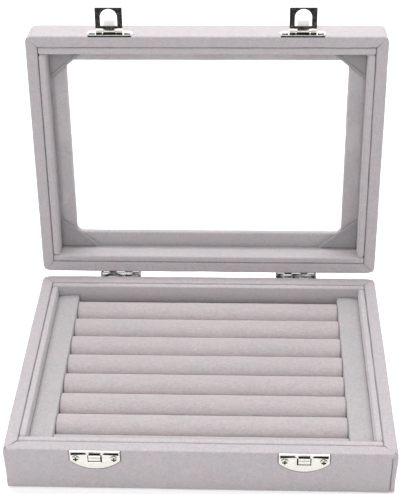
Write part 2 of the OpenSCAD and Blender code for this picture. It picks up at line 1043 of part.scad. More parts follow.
// Side view of the finger tab: y down from the pin, z outwards
function tab_outline() =
    let (in = strap_r - hasp_t, out = strap_r)
    [
        [0, in],
        [-tab_straight, in],
        [-tab_len, in + tab_flare],
        [-tab_len, out + tab_flare],
        [-tab_straight, out],
        [0, out]
    ];

// Hasp in its shut position, hanging over the keeper
module shut_hasp(side)
    translate([side * fitting_x, hasp_pin_y, hasp_pin_z])
        rotate([90, 0, 0])
            difference() {
                union() {
                    translate([0, 0, -strap_r])
                        linear_extrude(hasp_t)
                            hasp_outline();
                    translate([-strap_w / 2, -hasp_foot - eps, -strap_r])
                        cube([strap_w, hasp_foot + eps, hasp_t]);
                    translate([-strap_w / 2, 0, 0])
                        rotate([0, 90, 0])
                            cylinder(r = strap_r, h = strap_w);
                    translate([-strap_w / 2, 0, 0])
                        rotate([90, 0, 90])
                            linear_extrude(strap_w)
                                polygon(tab_outline());
                }
                translate([-hasp_w, 0, 0])
                    rotate([0, 90, 0])
                        cylinder(r = hasp_pin_r + pin_clear, h = 2 * hasp_w);
            }

module hasp(side)
    color(metal)
        on_raised_hasp()
            shut_hasp(side);

// ---------------------------------------------------------------- nodes

base_front_board();
base_rear_board();
base_side_board(-1);  // base_left_board
base_side_board(1);  // base_right_board
floor_board();
base_velvet_cover();
bottom_cloth();
base_long_liner(-1);  // base_front_liner
base_long_liner(1);  // base_rear_liner
base_short_liner(-1);  // base_left_liner
base_short_liner(1);  // base_right_liner
tray_card();
roll_sleeve(1);  // roll_sleeve_1
roll_sleeve(2);  // roll_sleeve_2
roll_sleeve(3);  // roll_sleeve_3
roll_sleeve(4);  // roll_sleeve_4
roll_sleeve(5);  // roll_sleeve_5
roll_sleeve(6);  // roll_sleeve_6
roll_sleeve(7);  // roll_sleeve_7
front_filler_roll();
foam_core(1);  // foam_core_1
foam_core(2);  // foam_core_2
foam_core(3);  // foam_core_3
foam_core(4);  // foam_core_4
foam_core(5);  // foam_core_5
foam_core(6);  // foam_core_6
foam_core(7);  // foam_core_7
side_strip(-1);  // left_side_strip
side_strip(1);  // right_side_strip
base_leaf(-1);  // left_base_leaf
base_leaf(1);  // right_base_leaf
hinge_pin(-1);  // left_hinge_pin
hinge_pin(1);  // right_hinge_pin
base_leaf_nails();
keeper_plate(-1);  // left_keeper_plate
keeper_plate(1);  // right_keeper_plate
keeper_screws();
lid_long_board(-1);  // lid_front_board
lid_long_board(1);  // lid_rear_board
lid_short_board(-1);  // lid_left_board
lid_short_board(1);  // lid_right_board
window_board();
lid_velvet_cover();
window_glass();
lid_long_liner(-1);  // lid_front_liner
lid_long_liner(1);  // lid_rear_liner
lid_short_liner(-1);  // lid_left_liner
lid_short_liner(1);  // lid_right_liner
corner_patches();
lid_leaf(-1);  // left_lid_leaf
lid_leaf(1);  // right_lid_leaf
lid_leaf_nails();
lid_plate(-1);  // left_lid_plate
lid_plate(1);  // right_lid_plate
lid_plate_screws();
hasp_pin(-1);  // left_hasp_pin
hasp_pin(1);  // right_hasp_pin
hasp(-1);  // left_hasp
hasp(1);  // right_hasp
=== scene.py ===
"""Ring display box: velvet, padding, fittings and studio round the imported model."""

import math

import bmesh
import bpy
from mathutils import Matrix, Vector, noise


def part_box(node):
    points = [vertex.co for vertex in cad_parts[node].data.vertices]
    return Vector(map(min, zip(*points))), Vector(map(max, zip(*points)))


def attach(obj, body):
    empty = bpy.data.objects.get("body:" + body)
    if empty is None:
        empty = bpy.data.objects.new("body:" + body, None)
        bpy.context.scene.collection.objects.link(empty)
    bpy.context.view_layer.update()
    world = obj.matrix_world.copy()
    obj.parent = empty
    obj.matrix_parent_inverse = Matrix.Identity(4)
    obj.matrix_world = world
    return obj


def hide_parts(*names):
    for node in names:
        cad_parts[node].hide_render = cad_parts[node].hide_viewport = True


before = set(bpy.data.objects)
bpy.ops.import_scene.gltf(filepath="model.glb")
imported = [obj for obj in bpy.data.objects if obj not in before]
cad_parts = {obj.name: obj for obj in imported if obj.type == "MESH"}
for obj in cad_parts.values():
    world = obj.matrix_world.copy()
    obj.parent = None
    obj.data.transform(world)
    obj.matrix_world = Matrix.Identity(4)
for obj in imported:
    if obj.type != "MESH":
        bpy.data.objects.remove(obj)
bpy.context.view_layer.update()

MM = 0.001

# ---------------------------------------------------------------- sizes of the box, in metres

# Case halves: outer size, walls and the roundings of the rims
HALF_W, HALF_D = 100 * MM, 75 * MM
BASE_H, LID_H, RIM_GAP = 27 * MM, 19 * MM, 0.3 * MM
WALL, CORNER_R = 6.5 * MM, 4 * MM
RIM_R, LIP_R = 0.9 * MM, 0.8 * MM

# Velvet covers: thickness, turn-in below the rims, and how far a mitre's under side lies lower
CLOTH, TURN_IN, FOLD_DIP = 0.55 * MM, 8 * MM, 0.28 * MM
# How unevenly glued cloth lies: height and length of its long waves and of its short ones
WAVE, WAVE_LEN = 0.14 * MM, 16 * MM
RIPPLE, RIPPLE_LEN = 0.04 * MM, 4 * MM

# Floor, from the underside up
UNDER, FLOOR_Z = 0.8 * MM, 3.9 * MM
CARD_TOP = FLOOR_Z + 1.2 * MM

# Linings and the tray inside them
LINING, LINING_DROP = 4.2 * MM, 0.2 * MM
TRAY_HALF_W = HALF_W - WALL - LINING
TRAY_HALF_D = HALF_D - WALL - LINING

# Rolls and the rests at their ends
ROLLS, ROLL_GAP, FILLER_W = 7, 0.4 * MM, 12.7 * MM
ROLL_PITCH = (2 * TRAY_HALF_D - FILLER_W - ROLL_GAP) / ROLLS
ROLL_W, ROLL_H, FLANK_H = ROLL_PITCH - ROLL_GAP, 14.2 * MM, 7.6 * MM
REST_W, REST_H = 12 * MM, 15.4 * MM
ROLL_LEN = 2 * (TRAY_HALF_W - REST_W) - 0.2 * MM

# Lid: window, glass and hinge line
WINDOW_EDGE_W, WINDOW_EDGE_D = 20 * MM, 19.6 * MM
PANEL, GLASS_T, HINGE_OUT = 3.7 * MM, 2 * MM, 1.7 * MM
LID_RIM_Z = BASE_H + RIM_GAP
LID_TOP_Z = LID_RIM_Z + LID_H
GLASS_Z = LID_TOP_Z - PANEL - GLASS_T
HINGE = Vector((0, HALF_D + HINGE_OUT, BASE_H + RIM_GAP / 2))
OPEN_ANGLE = math.radians(95)

# Fittings
FITTING_X, PLATE_T = 53 * MM, 0.8 * MM
PLATE_FACE = -HALF_D - PLATE_T
SCREW_OUT, SCREW_DROP = 9.8 * MM, 5 * MM

# Places that the lid's pieces are drawn in, carried to the open lid
SWING = Matrix.Rotation(-OPEN_ANGLE, 4, "X")
OPEN_LID = Matrix.Translation(HINGE) @ SWING @ Matrix.Translation(-HINGE)
LID_WAY_UP = OPEN_LID @ Matrix.Translation((0, 0, LID_TOP_Z)) @ Matrix.Diagonal((1, 1, -1, 1))
GLASS_UP = OPEN_LID @ Matrix.Translation((0, 0, GLASS_Z)) @ Matrix.Diagonal((1, 1, -1, 1))

# ---------------------------------------------------------------- camera


def studio_camera():
    """Camera in front of the box, a little to its right, looking down at it."""
    turn, tilt, roll = math.radians(-2.94), math.radians(33.84), math.radians(-1.2)
    stand = Vector((23.26, -530.53, 468.35)) * MM
    reach = math.cos(tilt)
    ahead = Vector((math.sin(turn) * reach, math.cos(turn) * reach, -math.sin(tilt)))
    level = Vector((math.cos(turn), -math.sin(turn), 0))
    above = level.cross(ahead)
    right = math.cos(roll) * level + math.sin(roll) * above
    up = -math.sin(roll) * level + math.cos(roll) * above
    lens = bpy.data.cameras.new("studio_camera")
    lens.lens, lens.sensor_width = 90.32, 36
    lens.shift_x, lens.shift_y = 0.0120, -0.0368
    lens.clip_start = 0.01
    camera = bpy.data.objects.new("studio_camera", lens)
    bpy.context.scene.collection.objects.link(camera)
    place = Matrix((right, up, -ahead)).transposed().to_4x4()
    place.translation = stand
    camera.matrix_world = place
    bpy.context.scene.camera = camera


studio_camera()

# ---------------------------------------------------------------- materials


def new_finish(name):
    finish = bpy.data.materials.new(name)
    finish.use_nodes = True
    tree = finish.node_tree
    tree.nodes.clear()
    out = tree.nodes.new("ShaderNodeOutputMaterial")
    body = tree.nodes.new("ShaderNodeBsdfPrincipled")
    tree.links.new(body.outputs["BSDF"], out.inputs["Surface"])
    return finish, tree, body


def where(tree, stretch=(1, 1, 1)):
    """Place on the piece, stretched along its axes."""
    spot = tree.nodes.new("ShaderNodeTexCoord")
    mapping = tree.nodes.new("ShaderNodeMapping")
    mapping.inputs["Scale"].default_value = stretch
    tree.links.new(spot.outputs["Object"], mapping.inputs["Vector"])
    return mapping.outputs["Vector"]


def mottle(tree, at, scale, detail=2.0, roughness=0.5):
    """Cloudy pattern, from 0 to 1."""
    grain = tree.nodes.new("ShaderNodeTexNoise")
    grain.inputs["Scale"].default_value = scale
    grain.inputs["Detail"].default_value = detail
    grain.inputs["Roughness"].default_value = roughness
    tree.links.new(at, grain.inputs["Vector"])
    return grain.outputs["Fac"]


def ramp(tree, value, stops):
    """Colour that runs between stops, each a (place, colour)."""
    band = tree.nodes.new("ShaderNodeValToRGB")
    while len(band.color_ramp.elements) < len(stops):
        band.color_ramp.elements.new(0.5)
    for stop, (place, colour) in zip(band.color_ramp.elements, stops):
        stop.position = place
        stop.color = (*colour, 1)
    tree.links.new(value, band.inputs["Fac"])
    return band.outputs["Color"]


def grey(level):
    return (level, level, level)


def multiply(tree, share, first, second):
    mix = tree.nodes.new("ShaderNodeMix")
    mix.data_type = "RGBA"
    mix.blend_type = "MULTIPLY"
    mix.inputs[0].default_value = share
    tree.links.new(first, mix.inputs[6])
    tree.links.new(second, mix.inputs[7])
    return mix.outputs[2]


def raise_nap(tree, body, heights):
    """Bumps from coarse to fine, one on the other: each a (height, strength, reach)."""
    last = None
    for value, strength, reach in heights:
        bump = tree.nodes.new("ShaderNodeBump")
        bump.inputs["Strength"].default_value = strength
        bump.inputs["Distance"].default_value = reach
        tree.links.new(value, bump.inputs["Height"])
        if last is not None:
            tree.links.new(last, bump.inputs["Normal"])
        last = bump.outputs["Normal"]
    tree.links.new(last, body.inputs["Normal"])


def clouded(name, cloud, first, second, stretch=(1, 1, 1)):
    """New finish, clouded between two stops. The cloud is a (scale, detail, roughness)."""
    finish, tree, body = new_finish(name)
    at = where(tree, stretch)
    colour = ramp(tree, mottle(tree, at, *cloud), [first, second])
    tree.links.new(colour, body.inputs["Base Color"])
    return finish, tree, body, at


def velvet(name, tint, lay=(1, 1, 1), gloss=0.6, spread=0.35):
    """Short-pile velvet: brushed patches that lean pink or grey, the speckle of the pile, and a
    soft sheen where it is seen at a slant."""
    finish, tree, body = new_finish(name)
    at = where(tree, lay)
    warm = [tint[0] * 1.04, tint[1] * 0.99, tint[2] * 1.0]
    cool = [tint[0] * 0.96, tint[1] * 0.975, tint[2] * 0.98]
    brushed = ramp(tree, mottle(tree, at, 90, 4, 0.6), [(0.32, cool), (0.68, warm)])
    tuft = ramp(tree, mottle(tree, at, 420, 3, 0.6), [(0.3, grey(0.90)), (0.7, grey(1.0))])
    pile = ramp(tree, mottle(tree, at, 1250, 3, 0.7), [(0.3, grey(0.72)), (0.7, grey(1.0))])
    colour = multiply(tree, 0.75, multiply(tree, 0.8, brushed, tuft), pile)
    tree.links.new(colour, body.inputs["Base Color"])
    body.inputs["Roughness"].default_value = 0.95
    body.inputs["Specular IOR Level"].default_value = 0.12
    body.inputs["Sheen Weight"].default_value = gloss
    body.inputs["Sheen Roughness"].default_value = spread
    body.inputs["Sheen Tint"].default_value = (0.97, 0.93, 0.95, 1)
    raise_nap(tree, body, [
        (mottle(tree, at, 180, 2, 0.5), 0.10, 0.0006),
        (mottle(tree, at, 1400, 2, 0.6), 0.5, 0.00025),
    ])
    return finish


def chrome():
    """Bright chromed steel: faint cloudy rubbing and a skin that isn't quite flat."""
    finish, tree, body, at = clouded(
        "chromed_steel", (400, 3), (0.3, (0.78, 0.77, 0.74)), (0.7, (0.90, 0.89, 0.87)),
    )
    wear = ramp(tree, mottle(tree, at, 800, 4), [(0.35, grey(0.05)), (0.75, grey(0.16))])
    tree.links.new(wear, body.inputs["Roughness"])
    body.inputs["Metallic"].default_value = 1
    raise_nap(tree, body, [
        (mottle(tree, at, 260, 2), 0.14, 0.0003),
        (mottle(tree, at, 1100, 2), 0.05, 0.0001),
    ])
    return finish


def pressed_nickel():
    """Pressed plate with a soft bright plating."""
    finish, tree, body, at = clouded(
        "pressed_nickel", (500, 3), (0.3, (0.86, 0.83, 0.78)), (0.7, (0.97, 0.94, 0.89)),
    )
    body.inputs["Metallic"].default_value = 0.5
    body.inputs["Roughness"].default_value = 0.28
    raise_nap(tree, body, [(mottle(tree, at, 320, 2), 0.12, 0.0003)])
    return finish


def painted_tab_reflection():
    """Dull white skin of the finger tabs: a painted reflection, standing for the bright sheen of
    the chrome tab.
    """
    finish, _, body, _ = clouded(
        "painted_tab_reflection", (500, 3), (0.3, (0.90, 0.89, 0.87)), (0.7, (0.98, 0.97, 0.96)),
    )
    body.inputs["Metallic"].default_value = 0.05
    body.inputs["Roughness"].default_value = 0.3
    return finish


def hinge_steel():
    """Plated steel with dark streaks along the rolled edges."""
    finish, tree, body, at = clouded(
        "hinge_steel", (650, 3, 0.6), (0.42, grey(0.05)), (0.6, (0.74, 0.73, 0.71)),
        stretch=(0.35, 1, 1),
    )
    body.inputs["Metallic"].default_value = 0.85
    body.inputs["Roughness"].default_value = 0.25
    raise_nap(tree, body, [(mottle(tree, at, 500, 2), 0.3, 0.0003)])
    return finish


def painted_shade_steel():
    """Near-black matt steel for painted shade in and under the fittings' openings, where shade
    falls.
    """
    finish, _, body, _ = clouded(
        "painted_shade_steel", (900, 3), (0.3, grey(0.004)), (0.8, (0.03, 0.028, 0.026)),
    )
    body.inputs["Roughness"].default_value = 0.8
    body.inputs["Specular IOR Level"].default_value = 0.1
    return finish


def clear_glass():
    finish, _, body, _ = clouded(
        "window_glass", (30, 1), (0.2, (0.975, 0.99, 0.985)), (0.8, (0.985, 0.995, 0.99)),
    )
    body.inputs["Transmission Weight"].default_value = 1
    body.inputs["Roughness"].default_value = 0
    body.inputs["IOR"].default_value = 1.45
    return finish


def raw_board():
    """Planed board with its grain along the width."""
    finish, tree, body, at = clouded(
        "raw_board", (60, 5, 0.6), (0.3, (0.42, 0.30, 0.18)), (0.7, (0.62, 0.47, 0.31)),
        stretch=(1, 12, 12),
    )
    body.inputs["Roughness"].default_value = 0.8
    raise_nap(tree, body, [(mottle(tree, at, 120, 3), 0.3, 0.0002)])
    return finish


def grey_card():
    finish, tree, body, at = clouded(
        "grey_card", (500, 4), (0.3, (0.40, 0.38, 0.35)), (0.7, (0.52, 0.50, 0.47)),
    )
    body.inputs["Roughness"].default_value = 0.9
    raise_nap(tree, body, [(mottle(tree, at, 1200, 3), 0.2, 0.0001)])
    return finish


def white_foam():
    finish, tree, body, at = clouded(
        "white_foam", (1400, 3), (0.3, (0.70, 0.70, 0.67)), (0.7, (0.84, 0.84, 0.81)),
    )
    body.inputs["Roughness"].default_value = 0.95
    raise_nap(tree, body, [(mottle(tree, at, 1600, 2), 0.5, 0.0003)])
    return finish


case_velvet = velvet("grey_velvet_case", (0.60, 0.565, 0.585))
roll_velvet = velvet("grey_velvet_rolls", (0.595, 0.549, 0.558), (0.5, 1, 1), 1.0, 0.4)
# Lighter copy of the velvet for the linings and the other solids: painted light where they stand
# in shade
lightened_lining_velvet = velvet("grey_velvet_linings_painted_light", (0.62, 0.59, 0.605))
rest_velvet = velvet("grey_velvet_rests", (0.55, 0.535, 0.545))
# Darker copy of the velvet for the glass's corner pads: painted shade from the lid's linings
shaded_pad_velvet = velvet("grey_velvet_pads_painted_shade", (0.44, 0.43, 0.44))
# Dark velvet for painted shade: strips in the creases, along the seam and round the keepers' feet
painted_shade_velvet = velvet("painted_shade_velvet", (0.24, 0.225, 0.225), gloss=0)
fitting_chrome = chrome()
fitting_nickel = pressed_nickel()
tab_reflection_finish = painted_tab_reflection()
streaky_steel = hinge_steel()
painted_shade_finish = painted_shade_steel()
glass_finish = clear_glass()
board_finish = raw_board()
card_finish = grey_card()
foam_finish = white_foam()

# ---------------------------------------------------------------- making pieces


def finished(bm, name, body, finish, stands_for=(), smooth=True, place=None):
    """Turns a bmesh into a piece that rides on a body. Its outermost side faces outwards."""
    if place is not None:
        bmesh.ops.transform(bm, matrix=place, verts=bm.verts[:])
    bmesh.ops.recalc_face_normals(bm, faces=bm.faces[:])
    outermost = max(bm.faces, key=lambda face: face.calc_center_median().x)
    if outermost.normal.x < 0:
        bmesh.ops.reverse_faces(bm, faces=bm.faces[:])
    for face in bm.faces:
        face.smooth = smooth
    shape = bpy.data.meshes.new(name)
    bm.to_mesh(shape)
    bm.free()
    shape.materials.append(finish)
    piece = bpy.data.objects.new(name, shape)
    bpy.context.scene.collection.objects.link(piece)
    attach(piece, body)
    if stands_for:
        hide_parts(*stands_for)
    return piece


def thickness(piece):
    """Gives a cover the thickness of its cloth, inwards."""
    wall = piece.modifiers.new("cloth_thickness", "SOLIDIFY")
    wall.thickness = CLOTH
    wall.offset = -1
    wall.use_even_offset = True


def rounder(piece):
    smoother = piece.modifiers.new("smooth_cloth", "SUBSURF")
    smoother.levels = 1
    smoother.render_levels = 1


def step(value, start, end):
    """Smooth rise from 0 at start to 1 at end."""
    share = min(1, max(0, (value - start) / (end - start)))
    return share * share * (3 - 2 * share)


def corners_in(geometry):
    return [g for g in geometry if isinstance(g, bmesh.types.BMVert)]


def ends_apart(edge, axis):
    """Distance between an edge's two ends along x or y."""
    return abs(edge.verts[0].co[axis] - edge.verts[1].co[axis])


def round_off(bm, geometry, r, segments, affect="EDGES", clamp=False):
    return bmesh.ops.bevel(
        bm, geom=geometry, offset=r, offset_type="OFFSET", segments=segments,
        profile=0.5, affect=affect, material=-1, clamp_overlap=clamp,
    )


def thicken(bm, faces, vec):
    """Draws faces out into a closed solid, and returns the corners of their new ends."""
    far_end = corners_in(bmesh.ops.extrude_face_region(bm, geom=faces)["geom"])
    bmesh.ops.translate(bm, vec=vec, verts=far_end)
    return far_end


def join_facets(bm):
    bmesh.ops.dissolve_limit(bm, angle_limit=math.radians(2), verts=bm.verts[:], edges=bm.edges[:])


def bar(bm, low, high, thin_end=0):
    """Small bar between two corners; thin_end says which end in x is drawn out thin."""
    corners = bmesh.ops.create_cube(bm, size=1)["verts"]
    for v in corners:
        v.co = Vector([l + (h - l) * (c + 0.5) for l, h, c in zip(low, high, v.co)])
    middle = (low[2] + high[2]) / 2
    for v in corners:
        if thin_end * (v.co.x - (low[0] + high[0]) / 2) > 0:
            v.co.z = middle + (v.co.z - middle) * 0.35


def strip_between(bm, first, last, size, shift=Vector()):
    """Straight strip of a given size that runs from one point to another, moved by shift. It
    returns the strip's corners, and a matrix that lays it in place."""
    strip = bmesh.ops.create_cube(bm, size=1)["verts"]
    bmesh.ops.scale(bm, vec=size, verts=strip)
    way = (last - first).to_track_quat("X", "Z").to_matrix().to_4x4()
    return strip, Matrix.Translation((first + last) / 2 + shift) @ way


def settle(bm, amount, size, seed, keep=None):
    """Lets cloth lie a little unevenly: moves points along their normals."""
    bm.normal_update()
    moves = []
    for v in bm.verts:
        lift = noise.noise(v.co / size + Vector((seed, 0, 0))) * amount
        if keep is not None:
            lift *= keep(v.co)
        moves.append((v, v.normal * lift))
    for v, move in moves:
        v.co += move


def press_out(piece, pressure, reach, held):
    """Lets the filling press a sleeve out. Held points stay, and none moves further than reach."""
    shape = piece.data
    pins = piece.vertex_groups.new(name="held")
    pins.add([v.index for v in shape.vertices if held(v.co)], 1, "REPLACE")
    cloth = piece.modifiers.new("filling", "CLOTH")
    cloth.settings.quality = 5
    cloth.settings.mass = 0.1
    cloth.settings.tension_stiffness = 12
    cloth.settings.compression_stiffness = 12
    cloth.settings.bending_stiffness = 1.5
    cloth.settings.use_pressure = True
    cloth.settings.uniform_pressure_force = pressure
    cloth.settings.effector_weights.gravity = 0
    cloth.settings.vertex_group_mass = "held"
    cloth.collision_settings.use_collision = False
    for frame_number in range(1, 13):
        bpy.context.scene.frame_set(frame_number)
    pressed = piece.evaluated_get(bpy.context.evaluated_depsgraph_get())
    places = [v.co.copy() for v in pressed.data.vertices]
    piece.modifiers.remove(cloth)
    piece.vertex_groups.remove(pins)
    for v, place in zip(shape.vertices, places):
        move = place - v.co
        if move.length > reach:
            move *= reach / move.length
        v.co += move
    bpy.context.scene.frame_set(1)


def bend(in_at, height_at, r, start, end, steps):
    """Points of a rounded edge in a section: (inwards, height) about a centre."""
    return [
        (in_at + r * math.cos(math.radians(start + (end - start) * i / steps)),
         height_at + r * math.sin(math.radians(start + (end - start) * i / steps)))
        for i in range(steps + 1)
    ]


def straight(first, last, steps):
    """Points between the two ends of a straight stretch in a section."""
    return [
        (first[0] + (last[0] - first[0]) * i / steps, first[1] + (last[1] - first[1]) * i / steps)
        for i in range(1, steps)
    ]


def corner_radius(d):
    """Radius of the case's upright corner at a distance inwards from the outer face."""
    return max(CORNER_R - d, 0.5 * MM)


def case_outline(bm, d, depth, r):
    """Rounded rectangle, inwards of the outer faces by d at the ends and by depth on the front
    and rear. Its cuts are closer together near the corners, where the cloth is folded."""
    pitch = 2.5 * MM
    bmesh.ops.create_grid(bm, x_segments=1, y_segments=1, size=1)
    bmesh.ops.scale(bm, vec=(HALF_W - d, HALF_D - depth, 1), verts=bm.verts[:])
    round_off(bm, bm.verts[:], r, 8, "VERTICES")
    bmesh.ops.delete(bm, geom=bm.faces[:], context="FACES_ONLY")
    for edge in [e for e in bm.edges if e.calc_length() > 4 * pitch]:
        bmesh.ops.subdivide_edges(bm, edges=[edge], cuts=round(edge.calc_length() / pitch) - 1)

    def near_corner(edge):
        middle = (edge.verts[0].co + edge.verts[1].co) / 2
        far_x, far_y = HALF_W - d - abs(middle.x), HALF_D - depth - abs(middle.y)
        return edge.calc_length() > 0.6 * pitch and max(far_x, far_y) < 12 * MM

    bmesh.ops.subdivide_edges(bm, edges=[e for e in bm.edges if near_corner(e)], cuts=3)


def wrap_case(section, radius_at, depth_in):
    """Carries a section round the case: a rounded rectangle, extruded loop by loop. Each point
    of the section is a (distance inwards, height)."""
    bm = bmesh.new()
    d0, z0 = section[0]
    r0 = radius_at(d0)
    case_outline(bm, d0, depth_in(d0), r0)
    bmesh.ops.translate(bm, vec=(0, 0, z0), verts=bm.verts[:])
    ring = bm.edges[:]
    for d1, z1 in section[1:]:
        grown = bmesh.ops.extrude_edge_only(bm, edges=ring)["geom"]
        ring = [g for g in grown if isinstance(g, bmesh.types.BMEdge)]
        r1 = radius_at(d1)
        cx0, cy0 = HALF_W - d0 - r0, HALF_D - depth_in(d0) - r0
        cx1, cy1 = HALF_W - d1 - r1, HALF_D - depth_in(d1) - r1
        for v in corners_in(grown):
            sx, sy = math.copysign(1, v.co.x), math.copysign(1, v.co.y)
            ax, ay = abs(v.co.x), abs(v.co.y)
            if ax > cx0 - 1e-7 and ay > cy0 - 1e-7:
                ax, ay = cx1 + (ax - cx0) * r1 / r0, cy1 + (ay - cy0) * r1 / r0
            elif ax > cx0 - 1e-7:
                ax, ay = ax - cx0 - r0 + cx1 + r1, ay * cy1 / cy0
            else:
                ax, ay = ax * cx1 / cx0, ay - cy0 - r0 + cy1 + r1
            v.co = (sx * ax, sy * ay, z1)
        d0, r0 = d1, r1
    return bm


def fold_corners(bm, rim_z):
    """Mitred folds: at each corner of a rim the cloth of the side laps over that of the front
    or rear, which lies a little lower beside the fold. The lap stays level with the rim, so
    that the lid still shuts on the base."""
    for v in bm.verts:
        below = rim_z - v.co.z
        far_x, far_y = HALF_W - abs(v.co.x), HALF_D - abs(v.co.y)
        if below > 3 * MM or max(far_x, far_y) > 16 * MM:
            continue
        past = (far_y - far_x) / math.sqrt(2)
        top = 1 - step(below, 0.6 * MM, 3 * MM)
        under = (1 - step(past, -0.2 * MM, 0.3 * MM)) * step(past, -5 * MM, -0.4 * MM)
        v.co.z -= top * FOLD_DIP * under


def lay_cloth(bm, rim_z, long_seed, short_seed):
    """Glued velvet on a case: long waves, short ripples and the folds of its corners."""
    settle(bm, WAVE, WAVE_LEN, long_seed)
    settle(bm, RIPPLE, RIPPLE_LEN, short_seed)
    fold_corners(bm, rim_z)


def corner_creases(name, body, rim_z, place=None):
    """Painted shade in the creases of the mitred folds: dark strips from each inner corner to the
    outer one.
    """
    bm = bmesh.new()
    for sx, sy in ((-1, -1), (-1, 1), (1, -1), (1, 1)):
        inner = Vector((sx * (HALF_W - WALL), sy * (HALF_D - WALL), rim_z - 0.27 * MM))
        outer = Vector((sx * (HALF_W - 0.9 * MM), sy * (HALF_D - 1.1 * MM), rim_z - 0.45 * MM))
        size = ((outer - inner).length, 0.22 * MM, 0.5 * MM)
        crease, laid = strip_between(bm, inner, outer, size)
        bmesh.ops.transform(bm, matrix=laid, verts=crease)
    finished(bm, name, body, painted_shade_velvet, smooth=False, place=place)


def padded_block(low, high, top_r, end_r, along):
    """Block with rounded top edges and ends, cut into short lengths along its run."""
    bm = bmesh.new()
    bmesh.ops.create_cube(bm, size=1)
    size = [h - l for l, h in zip(low, high)]
    middle = [(h + l) / 2 for l, h in zip(low, high)]
    bmesh.ops.scale(bm, vec=size, verts=bm.verts[:])
    bmesh.ops.translate(bm, vec=middle, verts=bm.verts[:])
    tops = [
        e for e in bm.edges
        if all(v.co.z > middle[2] for v in e.verts) and ends_apart(e, along) > 1e-6
    ]
    round_off(bm, tops, top_r, 5)
    bmesh.ops.remove_doubles(bm, verts=bm.verts[:], dist=1e-6)
    ends = [
        e for e in bm.edges
        if ends_apart(e, along) < 1e-7 and any(v.co.z > low[2] + 1e-6 for v in e.verts)
    ]
    round_off(bm, ends, end_r, 3)
    runs = [e for e in bm.edges if ends_apart(e, along) > size[along] * 0.6]
    cuts = round(size[along] / (3 * MM))
    bmesh.ops.subdivide_edges(bm, edges=runs, cuts=cuts, use_grid_fill=True)
    return bm


def lining_strips(name, foot, top, seed, gap, place=None):
    """Four velvet-wrapped strips inside a case: the long ones pass the short ones' ends."""
    outer_w, outer_d = TRAY_HALF_W + LINING - 0.35 * MM, TRAY_HALF_D + LINING - 0.35 * MM
    inner_w, inner_d = TRAY_HALF_W + gap, TRAY_HALF_D + gap
    for side, low, high, along, end_r in (
        ("front", (-outer_w, -outer_d, foot), (outer_w, -inner_d, top), 0, 0.7 * MM),
        ("rear", (-outer_w, inner_d, foot), (outer_w, outer_d, top), 0, 0.7 * MM),
        ("left", (-outer_w, -inner_d, foot), (-inner_w, inner_d, top), 1, 1.7 * MM),
        ("right", (inner_w, -inner_d, foot), (outer_w, inner_d, top), 1, 1.7 * MM),
    ):
        bm = padded_block(low, high, 1.0 * MM, end_r, along)
        settle(bm, 0.16 * MM, 13 * MM, seed + len(side))
        finished(
            bm, f"{name}_{side}_lining", name, lightened_lining_velvet, [f"{name}_{side}_liner"],
            place=place,
        )


# ---------------------------------------------------------------- base


def swelling(co):
    """How far the padding swells at a front corner of the base, from 0 to 1."""
    far_x, far_y = HALF_W - abs(co.x), HALF_D - abs(co.y)
    near = 1 - step(math.hypot(max(0, far_x), max(0, far_y)), 2 * MM, 8 * MM)
    return near * step(co.z, 4 * MM, 20 * MM) * (1 - step(co.z, 22.5 * MM, BASE_H))


def press_seam(bm):
    """Shallow groove where the side's cloth ends on the front, near the right corner."""
    for v in bm.verts:
        off_seam = abs(v.co.x - (HALF_W - 2.6 * MM))
        if v.co.y < 1.5 * MM - HALF_D and v.co.z < BASE_H - 2 * MM:
            v.co.y += 0.35 * MM * (1 - step(off_seam, 0, 0.9 * MM))


def swell_front(bm):
    """Swells the front corners, and sinks a faint ring round the lobe of cloth that is gathered
    on the left one."""
    for v in bm.verts:
        if v.co.y > 0:
            continue
        far_x, far_y, swell = HALF_W - abs(v.co.x), HALF_D - abs(v.co.y), swelling(v.co)
        v.co.x += math.copysign(0.7 * MM * swell, v.co.x)
        v.co.y -= 0.5 * MM * swell
        if v.co.x < 0 and v.co.z > BASE_H - 3 * MM:
            out = math.hypot(far_x - 3.0 * MM, far_y - 3.2 * MM)
            ring = step(out, 2.2 * MM, 3.2 * MM) * (1 - step(out, 3.4 * MM, 6 * MM))
            v.co.z -= 0.14 * MM * ring


def square_feet(bm):
    """Draws the upright corners out towards the floor, where the cloth is stretched tight."""
    for v in bm.verts:
        past_x, past_y = abs(v.co.x) - HALF_W + CORNER_R, abs(v.co.y) - HALF_D + CORNER_R
        if past_x > 0 and past_y > 0:
            missing = math.hypot(past_x, past_y) / max(past_x, past_y) - 1
            grow = 0.75 * (1 - step(v.co.z, 3 * MM, 19 * MM)) * missing
            v.co.x += math.copysign(past_x * grow, v.co.x)
            v.co.y += math.copysign(past_y * grow, v.co.y)


def base_cover():
    foot_r, lip_z = 0.8 * MM, BASE_H - LIP_R
    turned_in = (WALL, BASE_H - TURN_IN)
    section = (
        [(9 * MM, UNDER), (6 * MM, UNDER), (4 * MM, UNDER)]
        + [(3.2 * MM, 0.7 * MM), (2.4 * MM, 0.35 * MM), (1.6 * MM, 0.2 * MM)]
        + bend(foot_r, 1 * MM, foot_r, -90, -180, 4)
        + straight((0, 1 * MM), (0, BASE_H - RIM_R), 12)
        + bend(RIM_R, BASE_H - RIM_R, RIM_R, 180, 90, 5)
        + straight((RIM_R, BASE_H), (WALL - LIP_R, BASE_H), 6)
        + bend(WALL - LIP_R, lip_z, LIP_R, 90, 0, 4)
        + straight((WALL, lip_z), turned_in, 4)
        + [turned_in]
    )
    bm = wrap_case(section, corner_radius, lambda d: d)
    lay_cloth(bm, BASE_H, 3.1, 8.4)
    press_seam(bm)
    swell_front(bm)
    square_feet(bm)
    thickness(finished(bm, "base_cover", "base", case_velvet, ["base_velvet_cover"]))


